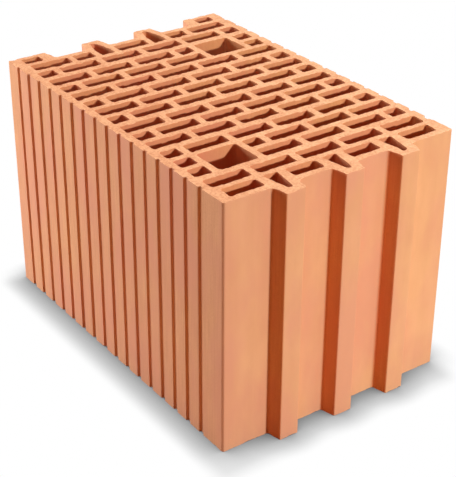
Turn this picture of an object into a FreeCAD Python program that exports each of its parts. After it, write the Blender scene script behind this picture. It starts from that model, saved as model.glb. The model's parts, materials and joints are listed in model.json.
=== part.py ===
"""Hollow clay wall block: one extruded and fired piece, stood on its ground bed face.

The clay is pushed through a die, so one profile carries every feature: rows of slots laid in bond,
two grip holes, tongues on the front end, grooves for them on the back end, and combed sides.
Millimetres, +Z up. The origin lies under the middle of the whole block, on the bottom bed face.
"""
import FreeCAD
import Part
import math
import os

# The block without its tongues
WIDTH = 250.0            # X, between the combed sides
LENGTH = 373.0           # Y, from the front lands to the back lands
HEIGHT = 249.0           # Z, between the ground bed faces
CORNER_RADIUS = 2.0      # upright outer corners

# Tongues on the front end, and the grooves on the back end that take a neighbour's tongues
KEY_COUNT = 3
KEY_PITCH = 62.5
TONGUE_ROOT = 27.5       # width where the tongue leaves the front land
TONGUE_TIP = 20.0
TONGUE_REACH = 15.0
TONGUE_ROOT_RADIUS = 3.5
TONGUE_TIP_RADIUS = 1.2
SIDE_PLAY = 7.5          # on each flank of a tongue in its groove
END_PLAY = 3.0           # between a tongue's tip and the groove's floor
GROOVE_RADIUS = 2.5      # corners of the grooves

# Clay left between and around the slots
SIDE_WALL = 8.5
CORNER_WALL = 12.0       # beside the end rows
FRONT_WALL = 7.0
BACK_WALL = 6.0          # between the last row and the floors of the grooves
CROSS_WEB = 7.0          # between neighbours in one row
KEY_WEB = 8.0            # beside the tapered holes of the tongues
ROW_WEB = 6.2            # between rows
BRIDGE_WEB = 8.0         # the stronger web after every third row
SLOT_EASE = 1.5          # flat across each corner of a slot

# Bond of the slots
ROW_COUNT = 16
SLOTS_IN_ROW = 5
BRIDGE_STEP = 3
FIRST_BRIDGE = 1         # row, counted from 0, that the first stronger web follows

# Share of a side that the arc at one of its ends may take
LONGEST_SETBACK = 0.48

# Tapered holes that lighten the tongues and the ridges between the grooves
KEY_HOLE_WIDE = 15.0
KEY_HOLE_TIP = 5.0
KEY_HOLE_RADIUS = 2.0
TONGUE_HOLE_WALL = 8.0   # clay before the tip of a tongue's hole
RIDGE_HOLE_WALL = 5.0    # clay behind the tip of a ridge's hole and behind the corner holes
CORNER_HOLE_WALL = 10.0  # clay between a back corner's hole and the mouth of the groove beside it

# Grip holes: the row each starts in, and the long slot of that row that it takes the place of
GRIPS = [(2, 0), (12, 3)]
GRIP_RADIUS = 3.0

# Comb grooves that key the plaster, down both sides
COMB_PITCH = 21.1
COMB_START = 33.4        # from the front lands to the middle of the first groove
COMB_END = 20.0          # least distance from the middle of the last groove to the back lands
COMB_MOUTH = 5.6
COMB_FLOOR = 4.6
COMB_DEPTH = 2.0

FRONT_Y = (TONGUE_REACH - LENGTH) / 2
BACK_Y = FRONT_Y + LENGTH
SIDE_X = WIDTH / 2
GROOVE_MOUTH = TONGUE_ROOT + 2 * SIDE_PLAY
GROOVE_FLOOR = TONGUE_TIP + 2 * SIDE_PLAY
GROOVE_DEPTH = TONGUE_REACH + END_PLAY
ROW_WEBS = [BRIDGE_WEB if row % BRIDGE_STEP == FIRST_BRIDGE else ROW_WEB for row in range(ROW_COUNT - 1)]
ROW_DEPTH = (LENGTH - FRONT_WALL - sum(ROW_WEBS) - BACK_WALL - GROOVE_DEPTH) / ROW_COUNT
COMB_COUNT = 1 + int((LENGTH - COMB_START - COMB_END) / COMB_PITCH)
INNER_WIDTH = WIDTH - 2 * SIDE_WALL
LONG_SLOT = (INNER_WIDTH - (SLOTS_IN_ROW - 1) * CROSS_WEB) / SLOTS_IN_ROW
SHORT_SLOT = (LONG_SLOT - CROSS_WEB) / 2


def centred(count, pitch):
    """Places of a pattern of equal steps about the middle of the block."""
    return [(i - (count - 1) / 2) * pitch for i in range(count)]


KEY_X = centred(KEY_COUNT, KEY_PITCH)
RIDGE_X = centred(KEY_COUNT - 1, KEY_PITCH)


def row_span(row):
    """Front and back edge of a row of slots."""
    front = FRONT_Y + FRONT_WALL + row * ROW_DEPTH + sum(ROW_WEBS[:row])
    return front, front + ROW_DEPTH


def corner_arc(last, corner, following, radius):
    """Start, middle and end of the arc that eases a corner, kept shorter than half of either side."""
    to_last = last - corner
    to_next = following - corner
    half_angle = to_last.getAngle(to_next) / 2
    room = LONGEST_SETBACK * min(to_last.Length, to_next.Length)
    setback = min(radius / math.tan(half_angle), room)
    radius = setback * math.tan(half_angle)
    start = corner + to_last.normalize() * setback
    end = corner + to_next.normalize() * setback
    inward = (to_last + to_next).normalize()
    middle = corner + inward * (radius / math.sin(half_angle) - radius)
    return start, middle, end


def rounded_wire(corners):
    """Closed wire through corners (x, y, radius); a corner of radius 0 stays sharp."""
    points = [FreeCAD.Vector(x, y, 0) for x, y, _ in corners]
    following = points[1:] + points[:1]
    arcs = [
        corner_arc(points[i - 1], points[i], following[i], radius)
        for i, (_, _, radius) in enumerate(corners)
    ]
    edges = []
    for i, (start, middle, end) in enumerate(arcs):
        edges.append(Part.makeLine(arcs[i - 1][2], start))
        if corners[i][2] > 0:
            edges.append(Part.Arc(start, middle, end).toShape())
    return Part.Wire(edges)


def slot(x_span, y_span):
    """Upright slot with a small flat across each corner."""
    (x0, x1), (y0, y1) = x_span, y_span
    ease = SLOT_EASE
    front = [(x0 + ease, y0), (x1 - ease, y0), (x1, y0 + ease)]
    back = [(x1, y1 - ease), (x1 - ease, y1), (x0 + ease, y1), (x0, y1 - ease), (x0, y0 + ease)]
    return rounded_wire([(x, y, 0) for x, y in front + back])


def tongue_section(x):
    """Four corners of the tongue centred on x, from left to right."""
    tip = FRONT_Y - TONGUE_REACH
    return [
        (x - TONGUE_ROOT / 2, FRONT_Y, TONGUE_ROOT_RADIUS),
        (x - TONGUE_TIP / 2, tip, TONGUE_TIP_RADIUS),
        (x + TONGUE_TIP / 2, tip, TONGUE_TIP_RADIUS),
        (x + TONGUE_ROOT / 2, FRONT_Y, TONGUE_ROOT_RADIUS),
    ]


def groove_section(x):
    """Four corners of the groove centred on x, from right to left."""
    floor = BACK_Y - GROOVE_DEPTH
    return [
        (x + GROOVE_MOUTH / 2, BACK_Y, GROOVE_RADIUS),
        (x + GROOVE_FLOOR / 2, floor, GROOVE_RADIUS),
        (x - GROOVE_FLOOR / 2, floor, GROOVE_RADIUS),
        (x - GROOVE_MOUTH / 2, BACK_Y, GROOVE_RADIUS),
    ]


def comb_section(side):
    """Corners of the comb grooves along one side, from front to back; side is -1 or 1."""
    corners = []
    for i in range(COMB_COUNT):
        middle = FRONT_Y + COMB_START + i * COMB_PITCH
        corners += [
            (side * SIDE_X, middle - COMB_MOUTH / 2, 0),
            (side * (SIDE_X - COMB_DEPTH), middle - COMB_FLOOR / 2, 0),
            (side * (SIDE_X - COMB_DEPTH), middle + COMB_FLOOR / 2, 0),
            (side * SIDE_X, middle + COMB_MOUTH / 2, 0),
        ]
    return corners


def outline():
    """Outside of the profile, anticlockwise from the front left corner."""
    corners = [(-SIDE_X, FRONT_Y, CORNER_RADIUS)]
    for x in KEY_X:
        corners += tongue_section(x)
    corners.append((SIDE_X, FRONT_Y, CORNER_RADIUS))
    corners += comb_section(1)
    corners.append((SIDE_X, BACK_Y, CORNER_RADIUS))
    for x in reversed(KEY_X):
        corners += groove_section(x)
    corners.append((-SIDE_X, BACK_Y, CORNER_RADIUS))
    corners += reversed(comb_section(-1))
    return rounded_wire(corners)


def long_slots(count):
    """X spans of a run of long slots about the middle of the block."""
    return [(x - LONG_SLOT / 2, x + LONG_SLOT / 2) for x in centred(count, LONG_SLOT + CROSS_WEB)]


def bond_spans(row):
    """X spans of a row: long slots, or half a slot over and closed by a short slot at each end."""
    if row % 2 == 1:
        return long_slots(SLOTS_IN_ROW)
    end = INNER_WIDTH / 2
    return [(-end, SHORT_SLOT - end)] + long_slots(SLOTS_IN_ROW - 1) + [(end - SHORT_SLOT, end)]


def clear_of(spans, low, high):
    """The spans cut back to leave a web beside the stretch from low to high."""
    kept = []
    for start, end in spans:
        kept += [(start, min(end, low - CROSS_WEB)), (max(start, high + CROSS_WEB), end)]
    return [(start, end) for start, end in kept if end - start > 2 * SLOT_EASE]


def grip_span(grip):
    """X span of a grip hole, which is that of the long slot it takes the place of."""
    return long_slots(SLOTS_IN_ROW - 1)[grip[1]]


def bonded_slots():
    """The slots of all rows but the first and the last, cut back round the grip holes."""
    wires = []
    for row in range(1, ROW_COUNT - 1):
        spans = bond_spans(row)
        for grip in GRIPS:
            if row in (grip[0], grip[0] + 1):
                spans = clear_of(spans, *grip_span(grip))
        wires += [slot(span, row_span(row)) for span in spans]
    return wires


def grip_hole(grip):
    """Rounded hole for a hand, two rows deep."""
    x0, x1 = grip_span(grip)
    y0 = row_span(grip[0])[0]
    y1 = row_span(grip[0] + 1)[1]
    return rounded_wire([(x, y, GRIP_RADIUS) for x, y in ((x0, y0), (x1, y0), (x1, y1), (x0, y1))])


def between(low, high, middles, web):
    """X spans left between two ends and the tapered holes, with a web beside each hole."""
    reach = KEY_HOLE_WIDE / 2 + web
    starts = [low] + [x + reach for x in middles]
    ends = [x - reach for x in middles] + [high]
    return list(zip(starts, ends))


def front_row():
    """First row: a tapered hole in each tongue, and slots between them."""
    near, far = row_span(0)
    tip = FRONT_Y - TONGUE_REACH + TONGUE_HOLE_WALL
    end = SIDE_X - CORNER_WALL
    wires = [slot(span, (near, far)) for span in between(-end, end, KEY_X, KEY_WEB)]
    for x in KEY_X:
        wires.append(rounded_wire([
            (x - KEY_HOLE_TIP / 2, tip, KEY_HOLE_RADIUS),
            (x + KEY_HOLE_TIP / 2, tip, KEY_HOLE_RADIUS),
            (x + KEY_HOLE_WIDE / 2, far, KEY_HOLE_RADIUS),
            (x - KEY_HOLE_WIDE / 2, far, KEY_HOLE_RADIUS),
        ]))
    return wires


def back_row():
    """Last row: a tapered hole in each ridge between the grooves, and slots beside them."""
    near, far = row_span(ROW_COUNT - 1)
    tip = BACK_Y - RIDGE_HOLE_WALL
    end = SIDE_X - CORNER_WALL
    outer, *inner, _ = between(-end, end, RIDGE_X, ROW_WEB)
    left = [(-end, LONG_SLOT - end), (LONG_SLOT - end + ROW_WEB, outer[1])]
    right = [(-stop, -start) for start, stop in left]
    wires = [slot(span, (near, far)) for span in left + inner + right]
    for x in RIDGE_X:
        wires.append(rounded_wire([
            (x - KEY_HOLE_WIDE / 2, near, KEY_HOLE_RADIUS),
            (x + KEY_HOLE_WIDE / 2, near, KEY_HOLE_RADIUS),
            (x + KEY_HOLE_WIDE / 2, far, KEY_HOLE_RADIUS),
            (x + KEY_HOLE_TIP / 2, tip, KEY_HOLE_RADIUS),
            (x - KEY_HOLE_TIP / 2, tip, KEY_HOLE_RADIUS),
            (x - KEY_HOLE_WIDE / 2, far, KEY_HOLE_RADIUS),
        ]))
    return wires


def corner_holes():
    """A hole in each back corner, behind the last row."""
    y_span = (row_span(ROW_COUNT - 1)[1] + BACK_WALL, BACK_Y - RIDGE_HOLE_WALL)
    outer = SIDE_X - CORNER_WALL
    inner = KEY_X[-1] + GROOVE_MOUTH / 2 + CORNER_HOLE_WALL
    return [slot(span, y_span) for span in ((-outer, -inner), (inner, outer))]


def profile():
    """The die's profile as one face with all its holes."""
    holes = front_row() + bonded_slots() + back_row() + corner_holes() + [grip_hole(grip) for grip in GRIPS]
    return Part.makeFace([outline()] + holes, "Part::FaceMakerBullseye")


os.makedirs("parts", exist_ok=True)
clay_block = profile().extrude(FreeCAD.Vector(0, 0, HEIGHT))
clay_block.exportStep("parts/clay_block.step")
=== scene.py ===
"""Looks of the hollow clay block: drawn clay skin, ground bed faces, worn arrises and studio light.

Metres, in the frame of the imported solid: +Z up along the slots, origin under the middle of the block.
"""

import json
import math

import bmesh
import bpy
from mathutils import Euler, Matrix, Vector

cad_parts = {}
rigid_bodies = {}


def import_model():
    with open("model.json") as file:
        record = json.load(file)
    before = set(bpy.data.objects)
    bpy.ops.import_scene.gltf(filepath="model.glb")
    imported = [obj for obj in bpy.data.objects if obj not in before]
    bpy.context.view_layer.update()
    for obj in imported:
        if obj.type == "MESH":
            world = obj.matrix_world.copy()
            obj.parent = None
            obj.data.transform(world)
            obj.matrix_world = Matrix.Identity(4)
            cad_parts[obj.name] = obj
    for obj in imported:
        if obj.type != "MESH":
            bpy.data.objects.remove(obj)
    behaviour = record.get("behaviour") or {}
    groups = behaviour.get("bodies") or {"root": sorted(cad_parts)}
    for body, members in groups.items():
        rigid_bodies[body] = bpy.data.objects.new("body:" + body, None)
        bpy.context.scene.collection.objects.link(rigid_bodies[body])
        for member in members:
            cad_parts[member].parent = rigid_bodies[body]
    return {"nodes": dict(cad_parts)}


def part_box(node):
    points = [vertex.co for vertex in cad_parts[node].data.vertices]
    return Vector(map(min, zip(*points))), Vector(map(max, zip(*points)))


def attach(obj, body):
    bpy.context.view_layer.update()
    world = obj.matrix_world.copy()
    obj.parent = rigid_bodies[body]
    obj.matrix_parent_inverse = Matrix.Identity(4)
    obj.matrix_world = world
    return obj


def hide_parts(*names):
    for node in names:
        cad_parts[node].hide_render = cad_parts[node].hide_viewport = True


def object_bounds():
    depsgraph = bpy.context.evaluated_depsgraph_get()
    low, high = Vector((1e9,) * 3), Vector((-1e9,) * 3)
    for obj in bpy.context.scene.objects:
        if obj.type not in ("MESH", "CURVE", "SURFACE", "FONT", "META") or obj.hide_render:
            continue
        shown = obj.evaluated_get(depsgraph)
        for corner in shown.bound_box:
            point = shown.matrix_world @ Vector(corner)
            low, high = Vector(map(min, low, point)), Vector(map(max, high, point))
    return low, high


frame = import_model()
CAD_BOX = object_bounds()

# The block is modelled in millimetres, because faces are filled to a tolerance too coarse for metres.
MM = 0.001
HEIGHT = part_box("clay_block")[1].z / MM
WELD = 0.01
LEVEL = 0.02             # how near a point lies to the height or side that it belongs to
FACING = 0.5             # part of a face's normal along an axis, above which the face looks that way

# Upright corners, which the die leaves a little round
CORNER_RADIUS = 2.0      # of the outline's four corners in the solid
CORNER_FLAT = 1.2        # width of their bevels on the end faces
CORNER_EASE = 0.5        # taken from each side of any other corner
CORNER_STEPS = 2
SHARP_TURN = math.radians(20)
LONGEST_SIDE = 2.0       # longest and shortest stretches of profile between two points
SHORTEST_SIDE = 0.45

# Combed grooves of the two sides, whose lips gape a little to the back
COMB_DEPTH = 2.0
COMB_SLOPE = 0.5         # how far a groove's wall leans, from its floor to its lip
COMB_GAPE = 0.3

# Walls of the slots, which waver a little from one place to the next
WAVER = 0.5
WAVER_SIZE = 28.0
WAVER_DEPTHS = {"X": 2, "Y": 3}     # not the same, so that the two directions differ

# Arrises between the walls and the bed faces, worn by grinding and handling
ARRIS_EASE = 0.4
ARRIS_STEPS = 2
ARRIS_ROUGHNESS = 0.12
ARRIS_SEED = 5
BED_MARGIN = 0.25        # strip of bed face beside an arris
BED_WELD = 0.2           # nearer points of that strip's inner edge become one
CHIP_FOOT = 4.0          # how far down a wall the chips reach
CHIPS = [
    # share of arris points, depth, reach and seed
    (0.030, 0.30, 2.2, 3),
    (0.008, 0.60, 3.2, 11),
    (0.0015, 0.90, 4.5, 29),
]
SMOOTH_ANGLE = math.radians(38)

# Fired clay, from here on in metres: matt, porous and without gloss
HALF_WIDTH, HALF_LENGTH = CAD_BOX[1][0], CAD_BOX[1][1]
SHADED_SLOT, DRAWN, GROUND = range(3)      # places of the three clays among the block's materials
SHADED_SLOT_CLAY = ("DA814A", "F6AE6F", "EA8F64", 0.55)     # dark, light, pink, and grain on walls across the block; redder and darker than the outside clay, as painted shade in the hollows
DRAWN_CLAY = ("CF8A57", "F5B983", "E29976", 0.07)
GROUND_CLAY = ("CE8458", "FEC693")                   # dark and light
CLAY_IOR = 1.45
DRAWN_ROUGHNESS = 0.88
GROUND_ROUGHNESS = 0.92
GRIT = 0.3 * MM
DRAWN_BUMP = 0.2
GROUND_BUMP = 0.3

# Patterns of the clay: size, squash along the stretched axis, detail and roughness.
# Real grit and drawing marks are finer than a millimetre; they are drawn coarser here, so that they show.
DRAWN_PATTERNS = [
    (2.4 * MM, 0.05, 3.0, 0.6),     # streaks that the die draws upwards
    (1.6 * MM, 1.0, 3.0, 0.7),      # grain
    (14 * MM, 0.012, 2.0, 0.5),     # upright bands
    (26 * MM, 0.45, 3.0, 0.6),      # clouds
    (60 * MM, 0.45, 3.0, 0.6),      # blush, where the firing turned the clay pink
]
GROUND_PATTERNS = [
    (2.0 * MM, 1.0, 3.0, 0.65),     # sand
    (16 * MM, 1.0, 3.0, 0.5),       # clouds
    (1.5 * MM, 0.03, 2.0, 0.5),     # scratches of the grinding wheel
]
MIDDLE = 0.5                        # of a pattern's range
STREAKS, GRAIN, BANDS, CLOUDS = 1.15, 0.9, 0.3, 0.6      # how strongly each shows
SAND, STAINS, SCRATCHES = 1.35, 0.6, 0.3
SIDE_TURN = (0.3, 0.9)              # from a wall across the block to a side wall, by its normal
FOOT_LIGHT_RISE = 0.24                    # painted light: the end faces are paler at the foot, as lit from the floor, than at this height
PAINTED_FOOT_LIGHT = (0.24, 0.04)
PAINTED_LIGHT_DRIFT = 0.02                   # and painted light makes them a little paler to the right, nearer the key lamp
BLUSH_RANGE = (0.38, 0.62)
BLUSH_PINK = (0.15, 0.8)
PINK_DRIFT = -0.35                  # less pink to the right
GROUND_DRIFT = (0.28, 0.5)          # tone of the bed faces, from left to right

# Sockets of a Mix node that mixes colours
FACTOR, FIRST, SECOND, RESULT = 0, 6, 7, 2

# Studio floor and world: white to the eye, dim and warm to the light
FLOOR_SIZE = 12
FLOOR_DULL = "A47945"
WORLD_DIM = "FF4519"
WORLD_STRENGTH = 0.1
WHITE = "FFFFFF"

# Soft shade that the block casts on the floor close to its foot
SHADE_REACH = 0.031
SHADE_POWER = 1.25
SHADE_SAMPLES = 16
SHADE_HALF = (HALF_WIDTH, HALF_LENGTH, 0)      # half of the footprint, which a broader shade spreads from
SHADE_MIDDLE = (-0.011, -0.007, 0)
SHADE_SPREAD = 0.022
SHADE_LEAST = 0.8

# Round lamps, a little cooler than white
COOL = (0.92, 1.03, 1.1)
LAMPS = {
    # the way to the lamp, its distance and size, how bright it makes white, what it faces, and its tint
    "overhead": ((0, 0, 1), 2.25, 0.5, 0.965, (0, 0, HEIGHT * MM), (0.97, 1.05, 1.1)),
    "key": ((0.275, -0.899, 0.342), 2.0, 0.1, 0.83, (0, -0.18, 0.12), COOL),
    "back_left": ((-0.62, 0.78, 0.08), 1.3, 0.8, 1.25, (-HALF_WIDTH, 0, 0.16), (0.93, 1.06, 1.16)),
    "low_front": ((0.6, -0.8, 0.05), 0.35, 0.25, 0.22, (0.05, -0.19, 0.02), COOL),
}

# Camera, found from the photograph's 456 x 477 frame
FRAME_HEIGHT_PX = 477
FOCAL_LENGTH_PX = 1322.9
SENSOR = 36.0
CAMERA_PLACE = (-0.6628, -0.9408, 0.7358)
CAMERA_AZIMUTH = math.radians(-35.455)
CAMERA_ELEVATION = math.radians(29.082)
CAMERA_ROLL = math.radians(0.283)


def pick(kind, rule):
    """In edit mode, select the points, edges or faces that a rule is true of; return how many."""
    bpy.ops.mesh.select_mode(type=kind)
    bpy.ops.mesh.select_all(action="DESELECT")
    form = bmesh.from_edit_mesh(bpy.context.object.data)
    items = {"VERT": form.verts, "EDGE": form.edges, "FACE": form.faces}[kind]
    chosen = [item for item in items if rule(item)]
    for item in chosen:
        item.select_set(True)
    form.select_flush_mode()
    bmesh.update_edit_mesh(bpy.context.object.data)
    return len(chosen)


def profile_loops(node):
    """A copy of the solid, cut down to the closed loops of its profile on the bottom bed face."""
    block = bpy.data.objects.new("fired_clay_block", node.data.copy())
    bpy.context.scene.collection.objects.link(block)
    block.data.materials.clear()
    bpy.ops.object.select_all(action="DESELECT")
    block.select_set(True)
    bpy.context.view_layer.objects.active = block
    bpy.ops.mesh.customdata_custom_splitnormals_clear()
    bpy.ops.object.mode_set(mode="EDIT")
    bpy.ops.mesh.select_all(action="SELECT")
    bpy.ops.transform.resize(value=[1 / MM] * 3, center_override=(0, 0, 0))
    bpy.ops.mesh.remove_doubles(threshold=WELD)
    pick("FACE", lambda face: abs(face.normal.z) > FACING)
    bpy.ops.mesh.delete(type="FACE")
    pick("VERT", lambda point: point.co.z > HEIGHT / 2)
    bpy.ops.mesh.delete(type="VERT")
    return block


def flatten_corners():
    """Make flat bevels of the outline's rounded corners, which handling leaves blunt."""
    form = bmesh.from_edit_mesh(bpy.context.object.data)
    side = max(point.co.x for point in form.verts) - LEVEL
    along = [point.co.y for point in form.verts if point.co.x > side]
    first, last = min(along) - LEVEL, max(along) + LEVEL
    rounded = side - CORNER_RADIUS + 3 * LEVEL
    pick("VERT", lambda point: abs(point.co.x) > rounded and not first < point.co.y < last)
    bpy.ops.mesh.dissolve_verts()
    ends = side - CORNER_RADIUS - LEVEL
    pick("VERT", lambda point: ends < abs(point.co.x) < side and not first < point.co.y < last)
    outwards = (side - CORNER_FLAT) / (side - CORNER_RADIUS)
    bpy.ops.transform.resize(value=(outwards, 1, 1), center_override=(0, 0, 0))


def gape_combing():
    """Move the back wall of each combed groove, which drying draws open."""
    form = bmesh.from_edit_mesh(bpy.context.object.data)
    floor = max(point.co.x for point in form.verts) - COMB_DEPTH
    corners = sorted({round(point.co.y, 2) for point in form.verts if abs(point.co.x - floor) < LEVEL})
    backs = corners[1::2]
    pick("VERT", lambda point: abs(point.co.x) > floor - LEVEL
         and any(abs(point.co.y - back - COMB_SLOPE / 2) < COMB_SLOPE for back in backs))
    bpy.ops.transform.translate(value=(0, COMB_GAPE, 0))


def turn(point):
    """Angle by which the profile turns at a point."""
    ahead, behind = (edge.other_vert(point).co - point.co for edge in point.link_edges)
    return math.pi - ahead.angle(behind)


def ease_corners():
    """Round the sharp corners of the profile, then divide its long sides."""
    pick("VERT", lambda point: turn(point) > SHARP_TURN)
    bpy.ops.mesh.bevel(offset=CORNER_EASE, segments=CORNER_STEPS, affect="VERTICES")
    bpy.ops.mesh.select_all(action="SELECT")
    bpy.ops.mesh.remove_doubles(threshold=SHORTEST_SIDE)
    while pick("EDGE", lambda edge: edge.calc_length() > LONGEST_SIDE):
        bpy.ops.mesh.subdivide(number_cuts=1)


def select_outline():
    """Select the outside of the block, which is joined to its point furthest along X."""
    form = bmesh.from_edit_mesh(bpy.context.object.data)
    furthest = max(form.verts, key=lambda point: point.co.x).index
    pick("VERT", lambda point: point.index == furthest)
    bpy.ops.mesh.select_linked()


def waver_slots(block):
    """Let the slots' walls wander by parts of a millimetre, the outside staying true."""
    select_outline()
    bpy.ops.mesh.select_all(action="INVERT")
    bpy.ops.object.vertex_group_add()
    bpy.ops.object.vertex_group_assign()
    slots = block.vertex_groups.active.name
    bpy.ops.object.mode_set(mode="OBJECT")
    for direction, depth in WAVER_DEPTHS.items():
        cloud = bpy.data.textures.new("waver_" + direction, "CLOUDS")
        cloud.noise_scale = WAVER_SIZE
        cloud.noise_depth = depth
        bpy.ops.object.modifier_add(type="DISPLACE")
        waver = block.modifiers[-1]
        waver.texture = cloud
        waver.direction = direction
        waver.strength = WAVER
        waver.vertex_group = slots
        bpy.ops.object.modifier_apply(modifier=waver.name)
    bpy.ops.object.mode_set(mode="EDIT")


def arris_rings():
    """Rise and inset of each ring from the wall to the bed face, the last one not yet folded flat."""
    rings = []
    for step in range(1, ARRIS_STEPS + 1):
        angle = math.pi / 2 * step / ARRIS_STEPS
        rings.append((ARRIS_EASE * math.sin(angle), ARRIS_EASE * (1 - math.cos(angle))))
    rings.append((ARRIS_EASE + BED_MARGIN, ARRIS_EASE + BED_MARGIN))
    return rings


def ring_heights():
    """Heights of all rings of points up the walls, from the bottom bed face to the top one."""
    rises = [rise for rise, _ in arris_rings()]
    low = [ARRIS_EASE - rise for rise in reversed(rises)]
    high = [HEIGHT - ARRIS_EASE + rise for rise in rises]
    return low + [ARRIS_EASE, HEIGHT - ARRIS_EASE - CHIP_FOOT, HEIGHT - ARRIS_EASE] + high


def draw_walls():
    """Draw the profile up through the height of the block, with a ring of points at each height."""
    heights = ring_heights()
    bpy.ops.mesh.select_all(action="SELECT")
    bpy.ops.transform.translate(value=(0, 0, heights[0]))
    for below, above in zip(heights, heights[1:]):
        bpy.ops.mesh.extrude_region_move(TRANSFORM_OT_translate={"value": (0, 0, above - below)})
    bpy.ops.mesh.select_all(action="SELECT")
    bpy.ops.mesh.normals_make_consistent(inside=False)
    select_outline()
    bpy.ops.mesh.select_all(action="INVERT")
    bpy.ops.mesh.flip_normals()


def fold_arrises():
    """Ease the walls over into the bed faces, roughly, and lay the margins flat."""
    inset_so_far = 0
    for rise, inset in arris_rings():
        past = HEIGHT / 2 - ARRIS_EASE + rise - LEVEL
        pick("VERT", lambda point: abs(point.co.z - HEIGHT / 2) > past)
        bpy.ops.transform.shrink_fatten(value=inset_so_far - inset, use_even_offset=True)
        inset_so_far = inset
    wall, rim = HEIGHT / 2 - ARRIS_EASE + LEVEL, HEIGHT / 2 + LEVEL
    pick("VERT", lambda point: wall < abs(point.co.z - HEIGHT / 2) < rim)
    bpy.ops.transform.vertex_random(offset=ARRIS_ROUGHNESS, seed=ARRIS_SEED)
    pick("VERT", lambda point: point.is_boundary)
    bpy.ops.mesh.remove_doubles(threshold=BED_WELD)
    flat = HEIGHT / 2 - ARRIS_ROUGHNESS - LEVEL
    for bed, side in ((0, -1), (HEIGHT, 1)):
        pick("VERT", lambda point: (point.co.z - HEIGHT / 2) * side > flat)
        bpy.ops.transform.resize(value=(1, 1, 0), center_override=(0, 0, bed))


def lay_clay(block):
    """Give the outside its own clay, while it is still apart from the slots."""
    # painted shade: the slots' walls get a redder, darker clay than the outside
    block.data.materials.append(drawn_clay("slot_painted_shade_clay", *SHADED_SLOT_CLAY))
    block.data.materials.append(drawn_clay("drawn_fired_clay", *DRAWN_CLAY))
    block.data.materials.append(ground_clay())
    select_outline()
    block.active_material_index = DRAWN
    bpy.ops.object.material_slot_assign()
    # painted shade: the tongues' flanks, which lie in shade, get the slots' redder, darker clay
    form = bmesh.from_edit_mesh(block.data)
    side = max(point.co.x for point in form.verts)
    front = min(point.co.y for point in form.verts if point.co.x > side - LEVEL) - CORNER_RADIUS
    pick("FACE", lambda face: face.calc_center_median().y < front and abs(face.normal.x) > FACING)
    block.active_material_index = SHADED_SLOT
    bpy.ops.object.material_slot_assign()


def close_beds():
    """Fill the two bed faces between the arrises."""
    for bed in (0, HEIGHT):
        pick("EDGE", lambda edge: edge.is_boundary and abs(edge.verts[0].co.z - bed) < LEVEL)
        bpy.ops.mesh.fill()
    # slivers along a straight side can share an edge, so they are taken out and closed again
    if pick("FACE", lambda face: any(len(edge.link_faces) > 2 for edge in face.edges)):
        bpy.ops.mesh.delete(type="FACE")
    if pick("EDGE", lambda edge: edge.is_boundary):
        bpy.ops.mesh.fill_holes(sides=0)
    bpy.ops.mesh.select_all(action="SELECT")
    bpy.ops.mesh.normals_make_consistent(inside=False)


def chip_arrises():
    """Break small pieces off the arrises, as handling does."""
    for share, depth, reach, seed in CHIPS:
        for bed, inward in ((0, 1), (HEIGHT, -1)):
            pick("VERT", lambda point: abs(point.co.z - bed) < LEVEL)
            bpy.ops.mesh.select_random(ratio=1 - share, seed=seed, action="DESELECT")
            bpy.ops.transform.translate(
                value=(0, 0, inward * depth),
                use_proportional_edit=True,
                use_proportional_connected=True,
                proportional_edit_falloff="SPHERE",
                proportional_size=reach,
            )


def model_block():
    """The fired block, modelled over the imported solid's own profile."""
    block = profile_loops(frame["nodes"]["clay_block"])
    flatten_corners()
    gape_combing()
    ease_corners()
    waver_slots(block)
    draw_walls()
    fold_arrises()
    lay_clay(block)
    close_beds()
    chip_arrises()
    pick("FACE", lambda face: abs(face.normal.z) > FACING)
    block.active_material_index = GROUND
    bpy.ops.object.material_slot_assign()
    bpy.ops.mesh.select_all(action="SELECT")
    bpy.ops.transform.resize(value=[MM] * 3, center_override=(0, 0, 0))
    bpy.ops.object.mode_set(mode="OBJECT")
    bpy.ops.object.shade_smooth_by_angle(angle=SMOOTH_ANGLE)
    bpy.ops.object.modifier_add(type="WEIGHTED_NORMAL")
    block.modifiers[-1].keep_sharp = True
    bpy.ops.object.modifier_apply(modifier=block.modifiers[-1].name)
    block.vertex_groups.clear()
    return block


def linear(code):
    """Linear colour of an sRGB hex value."""
    channels = [int(code[i:i + 2], 16) / 255 for i in (0, 2, 4)]
    return [c / 12.92 if c <= 0.04045 else ((c + 0.055) / 1.055) ** 2.4 for c in channels] + [1.0]


def per_metre(size):
    """Scale of a pattern whose features have a size in metres."""
    return 1 / size


def add_node(tree, kind, settings=None, inputs=None):
    """Add a node; settings are its own properties, and each input is a value or an earlier node's output."""
    node = tree.nodes.new(kind)
    for name, value in (settings or {}).items():
        setattr(node, name, value)
    for socket, value in (inputs or {}).items():
        if isinstance(value, bpy.types.NodeSocket):
            tree.links.new(value, node.inputs[socket])
        else:
            node.inputs[socket].default_value = value
    return node


def new_material(name):
    """A new material, its empty node tree and the surface socket of its output."""
    material = bpy.data.materials.new(name)
    material.use_nodes = True
    material.node_tree.nodes.clear()
    output = add_node(material.node_tree, "ShaderNodeOutputMaterial")
    return material, material.node_tree, output.inputs["Surface"]


def mixed(tree, parts, offset):
    """Sum of patterns, each by its weight, about an offset."""
    total = offset
    for pattern, weight in parts:
        centred = add_node(tree, "ShaderNodeMath", {"operation": "SUBTRACT"}, {
            0: pattern, 1: MIDDLE}).outputs[0]
        total = add_node(tree, "ShaderNodeMath", {"operation": "MULTIPLY_ADD"}, {
            0: centred, 1: weight, 2: total}).outputs[0]
    return total


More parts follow.
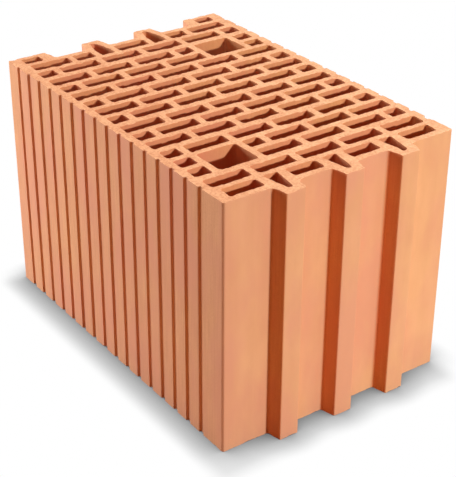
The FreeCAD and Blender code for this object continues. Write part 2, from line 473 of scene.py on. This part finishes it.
def drawn_clay(name, dark, light, pink, grain_across):
    """Fired clay as the die left it: matt orange with pink clouds, drawn into fine upright streaks. Painted
    light makes the end faces paler at the foot and to the right.
    """
    material, tree, surface = new_material(name)
    coordinates = add_node(tree, "ShaderNodeTexCoord")
    place = coordinates.outputs["Object"]
    patterns = []
    for size, squash, detail, rough in DRAWN_PATTERNS:
        stretched = add_node(tree, "ShaderNodeMapping", None, {
            "Vector": place, "Scale": (1, 1, squash)}).outputs[0]
        patterns.append(add_node(tree, "ShaderNodeTexNoise", None, {
            "Vector": stretched, "Scale": per_metre(size), "Detail": detail, "Roughness": rough}).outputs[0])
    streak, grain, band, cloud, blush = patterns
    across, _, up = add_node(tree, "ShaderNodeSeparateXYZ", None, {0: place}).outputs
    facing = add_node(tree, "ShaderNodeSeparateXYZ", None, {0: coordinates.outputs["Normal"]}).outputs[0]
    side = add_node(tree, "ShaderNodeMath", {"operation": "ABSOLUTE"}, {0: facing}).outputs[0]
    turning = {"Value": side, "From Min": SIDE_TURN[0], "From Max": SIDE_TURN[1]}
    coarse = add_node(tree, "ShaderNodeMapRange", None, {
        **turning, "To Min": grain_across, "To Max": 1.0}).outputs[0]
    end = add_node(tree, "ShaderNodeMapRange", None, {**turning, "To Min": 1.0, "To Max": 0.0}).outputs[0]
    # painted light: the end faces grow paler towards the foot and to the right
    foot = add_node(tree, "ShaderNodeMapRange", {"interpolation_type": "SMOOTHSTEP"}, {
        "Value": up, "From Max": FOOT_LIGHT_RISE, "To Min": PAINTED_FOOT_LIGHT[0], "To Max": PAINTED_FOOT_LIGHT[1]}).outputs[0]
    drift = add_node(tree, "ShaderNodeMapRange", None, {
        "Value": across, "From Min": -HALF_WIDTH, "From Max": HALF_WIDTH}).outputs[0]
    painted_light = mixed(tree, ((drift, PAINTED_LIGHT_DRIFT),), foot)
    paler = add_node(tree, "ShaderNodeMath", {"operation": "MULTIPLY_ADD"}, {
        0: painted_light, 1: end, 2: MIDDLE}).outputs[0]
    fine = mixed(tree, ((streak, STREAKS), (grain, GRAIN)), MIDDLE)
    broad = mixed(tree, ((band, BANDS), (cloud, CLOUDS)), paler)
    tone = mixed(tree, ((fine, coarse),), broad)
    shade = add_node(tree, "ShaderNodeMix", {"data_type": "RGBA"}, {
        FACTOR: tone, FIRST: linear(dark), SECOND: linear(light)}).outputs[RESULT]
    hue = add_node(tree, "ShaderNodeMapRange", None, {
        "Value": blush, "From Min": BLUSH_RANGE[0], "From Max": BLUSH_RANGE[1],
        "To Min": BLUSH_PINK[0], "To Max": BLUSH_PINK[1]}).outputs[0]
    pinker = mixed(tree, ((drift, PINK_DRIFT),), hue)
    colour = add_node(tree, "ShaderNodeMix", {"data_type": "RGBA"}, {
        FACTOR: pinker, FIRST: shade, SECOND: linear(pink)}).outputs[RESULT]
    bump = add_node(tree, "ShaderNodeBump", None, {
        "Strength": DRAWN_BUMP, "Distance": GRIT, "Height": fine}).outputs[0]
    clay = add_node(tree, "ShaderNodeBsdfPrincipled", None, {
        "Base Color": colour, "Roughness": DRAWN_ROUGHNESS, "IOR": CLAY_IOR, "Normal": bump})
    tree.links.new(clay.outputs[0], surface)
    return material


def ground_clay():
    """Fired clay ground flat: paler and sandy, with open pores and faint marks of the grinding wheel."""
    material, tree, surface = new_material("ground_fired_clay")
    place = add_node(tree, "ShaderNodeTexCoord").outputs["Object"]
    patterns = []
    for size, squash, detail, rough in GROUND_PATTERNS:
        stretched = add_node(tree, "ShaderNodeMapping", None, {
            "Vector": place, "Scale": (1, squash, 1)}).outputs[0]
        patterns.append(add_node(tree, "ShaderNodeTexNoise", None, {
            "Vector": stretched, "Scale": per_metre(size), "Detail": detail, "Roughness": rough}).outputs[0])
    sand, stain, scratch = patterns
    across = add_node(tree, "ShaderNodeSeparateXYZ", None, {0: place}).outputs[0]
    drift = add_node(tree, "ShaderNodeMapRange", None, {
        "Value": across, "From Min": -HALF_WIDTH, "From Max": HALF_WIDTH,
        "To Min": GROUND_DRIFT[0], "To Max": GROUND_DRIFT[1]}).outputs[0]
    tone = mixed(tree, ((sand, SAND), (stain, STAINS), (scratch, SCRATCHES)), drift)
    dark, light = GROUND_CLAY
    shade = add_node(tree, "ShaderNodeMix", {"data_type": "RGBA"}, {
        FACTOR: tone, FIRST: linear(dark), SECOND: linear(light)}).outputs[RESULT]
    bump = add_node(tree, "ShaderNodeBump", None, {
        "Strength": GROUND_BUMP, "Distance": GRIT, "Height": tone}).outputs[0]
    clay = add_node(tree, "ShaderNodeBsdfPrincipled", None, {
        "Base Color": shade, "Roughness": GROUND_ROUGHNESS, "IOR": CLAY_IOR, "Normal": bump})
    tree.links.new(clay.outputs[0], surface)
    return material


def background_rays(tree):
    """1 for what the eye sees, also in a mirror or through glass, and 0 for what lights the block."""
    path = add_node(tree, "ShaderNodeLightPath").outputs
    seen = path["Is Camera Ray"]
    for ray in ("Is Glossy Ray", "Is Transmission Ray"):
        seen = add_node(tree, "ShaderNodeMath", {"operation": "MAXIMUM"}, {0: seen, 1: path[ray]}).outputs[0]
    return seen


def broad_shade(tree):
    """Soft shade that fades with the distance from the block's footprint on the floor."""
    place = add_node(tree, "ShaderNodeTexCoord").outputs["Object"]
    offset = add_node(tree, "ShaderNodeVectorMath", {"operation": "SUBTRACT"}, {
        0: place, 1: SHADE_MIDDLE}).outputs[0]
    folded = add_node(tree, "ShaderNodeVectorMath", {"operation": "ABSOLUTE"}, {0: offset}).outputs[0]
    past = add_node(tree, "ShaderNodeVectorMath", {"operation": "SUBTRACT"}, {
        0: folded, 1: SHADE_HALF}).outputs[0]
    beyond = add_node(tree, "ShaderNodeVectorMath", {"operation": "MAXIMUM"}, {
        0: past, 1: (0, 0, 0)}).outputs[0]
    distance = add_node(tree, "ShaderNodeVectorMath", {"operation": "LENGTH"}, {0: beyond}).outputs["Value"]
    return add_node(tree, "ShaderNodeMapRange", {"interpolation_type": "SMOOTHSTEP"}, {
        "Value": distance, "From Max": SHADE_SPREAD, "To Min": SHADE_LEAST}).outputs[0]


def studio_white():
    """White studio floor: white to the eye but for the shade close to the block, and dull to the light."""
    material, tree, surface = new_material("studio_white")
    dull = add_node(tree, "ShaderNodeBsdfDiffuse", None, {"Color": linear(FLOOR_DULL)}).outputs[0]
    shade = add_node(tree, "ShaderNodeAmbientOcclusion", {"samples": SHADE_SAMPLES}, {
        "Distance": SHADE_REACH})
    near = add_node(tree, "ShaderNodeMath", {"operation": "POWER"}, {
        0: shade.outputs["AO"], 1: SHADE_POWER}).outputs[0]
    depth = add_node(tree, "ShaderNodeMath", {"operation": "MULTIPLY"}, {
        0: near, 1: broad_shade(tree)}).outputs[0]
    white = add_node(tree, "ShaderNodeEmission", None, {"Strength": depth}).outputs[0]
    floor = add_node(tree, "ShaderNodeMixShader", None, {
        0: background_rays(tree), 1: dull, 2: white}).outputs[0]
    tree.links.new(floor, surface)
    return material


def studio_floor():
    """A plain floor under the block."""
    bpy.ops.object.select_all(action="DESELECT")
    bpy.ops.mesh.primitive_plane_add(size=FLOOR_SIZE)
    floor = bpy.context.object
    floor.name = "studio_floor"
    floor.data.materials.append(studio_white())


def studio_world():
    """White beyond the floor to the eye, and a faint even light on the block."""
    world = bpy.data.worlds.new("studio")
    bpy.context.scene.world = world
    world.use_nodes = True
    tree = world.node_tree
    tree.nodes.clear()
    dim = add_node(tree, "ShaderNodeBackground", None, {
        "Color": linear(WORLD_DIM), "Strength": WORLD_STRENGTH}).outputs[0]
    white = add_node(tree, "ShaderNodeBackground", None, {"Color": linear(WHITE)}).outputs[0]
    sky = add_node(tree, "ShaderNodeMixShader", None, {
        0: background_rays(tree), 1: dim, 2: white}).outputs[0]
    add_node(tree, "ShaderNodeOutputWorld", None, {"Surface": sky})


def softbox(name, towards, distance, size, level, target, tint):
    """A round lamp that gives a white surface facing it a brightness of level."""
    lamp = bpy.data.objects.new(name, bpy.data.lights.new(name, "AREA"))
    bpy.context.scene.collection.objects.link(lamp)
    lamp.data.shape = "DISK"
    lamp.data.size = size
    lamp.data.color = tint
    lamp.visible_camera = False
    lamp.data.energy = level * math.pi ** 2 * distance ** 2
    aim = Vector(towards).normalized()
    lamp.location = Vector(target) + aim * distance
    lamp.rotation_mode = "QUATERNION"
    lamp.rotation_quaternion = aim.to_track_quat("Z", "Y")


def light_block():
    """Light from overhead, low from the front right, grazing from the back left, and a little at the foot."""
    for name, lamp in LAMPS.items():
        softbox(name, *lamp)


def aim_camera():
    """Camera at the photograph's place, focal length and slight roll."""
    camera = bpy.data.objects.new("camera", bpy.data.cameras.new("camera"))
    bpy.context.scene.collection.objects.link(camera)
    camera.data.sensor_width = SENSOR
    camera.data.lens = FOCAL_LENGTH_PX * SENSOR / FRAME_HEIGHT_PX
    look = Euler((math.pi / 2 - CAMERA_ELEVATION, 0, CAMERA_AZIMUTH)).to_matrix()
    turned = look @ Matrix.Rotation(CAMERA_ROLL, 3, "Z")
    camera.rotation_euler = turned.to_euler()
    camera.location = CAMERA_PLACE
    bpy.context.scene.camera = camera


block = model_block()
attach(block, "root")
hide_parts("clay_block")
studio_floor()
studio_world()
light_block()
aim_camera()
bpy.context.scene.view_settings.view_transform = "Standard"
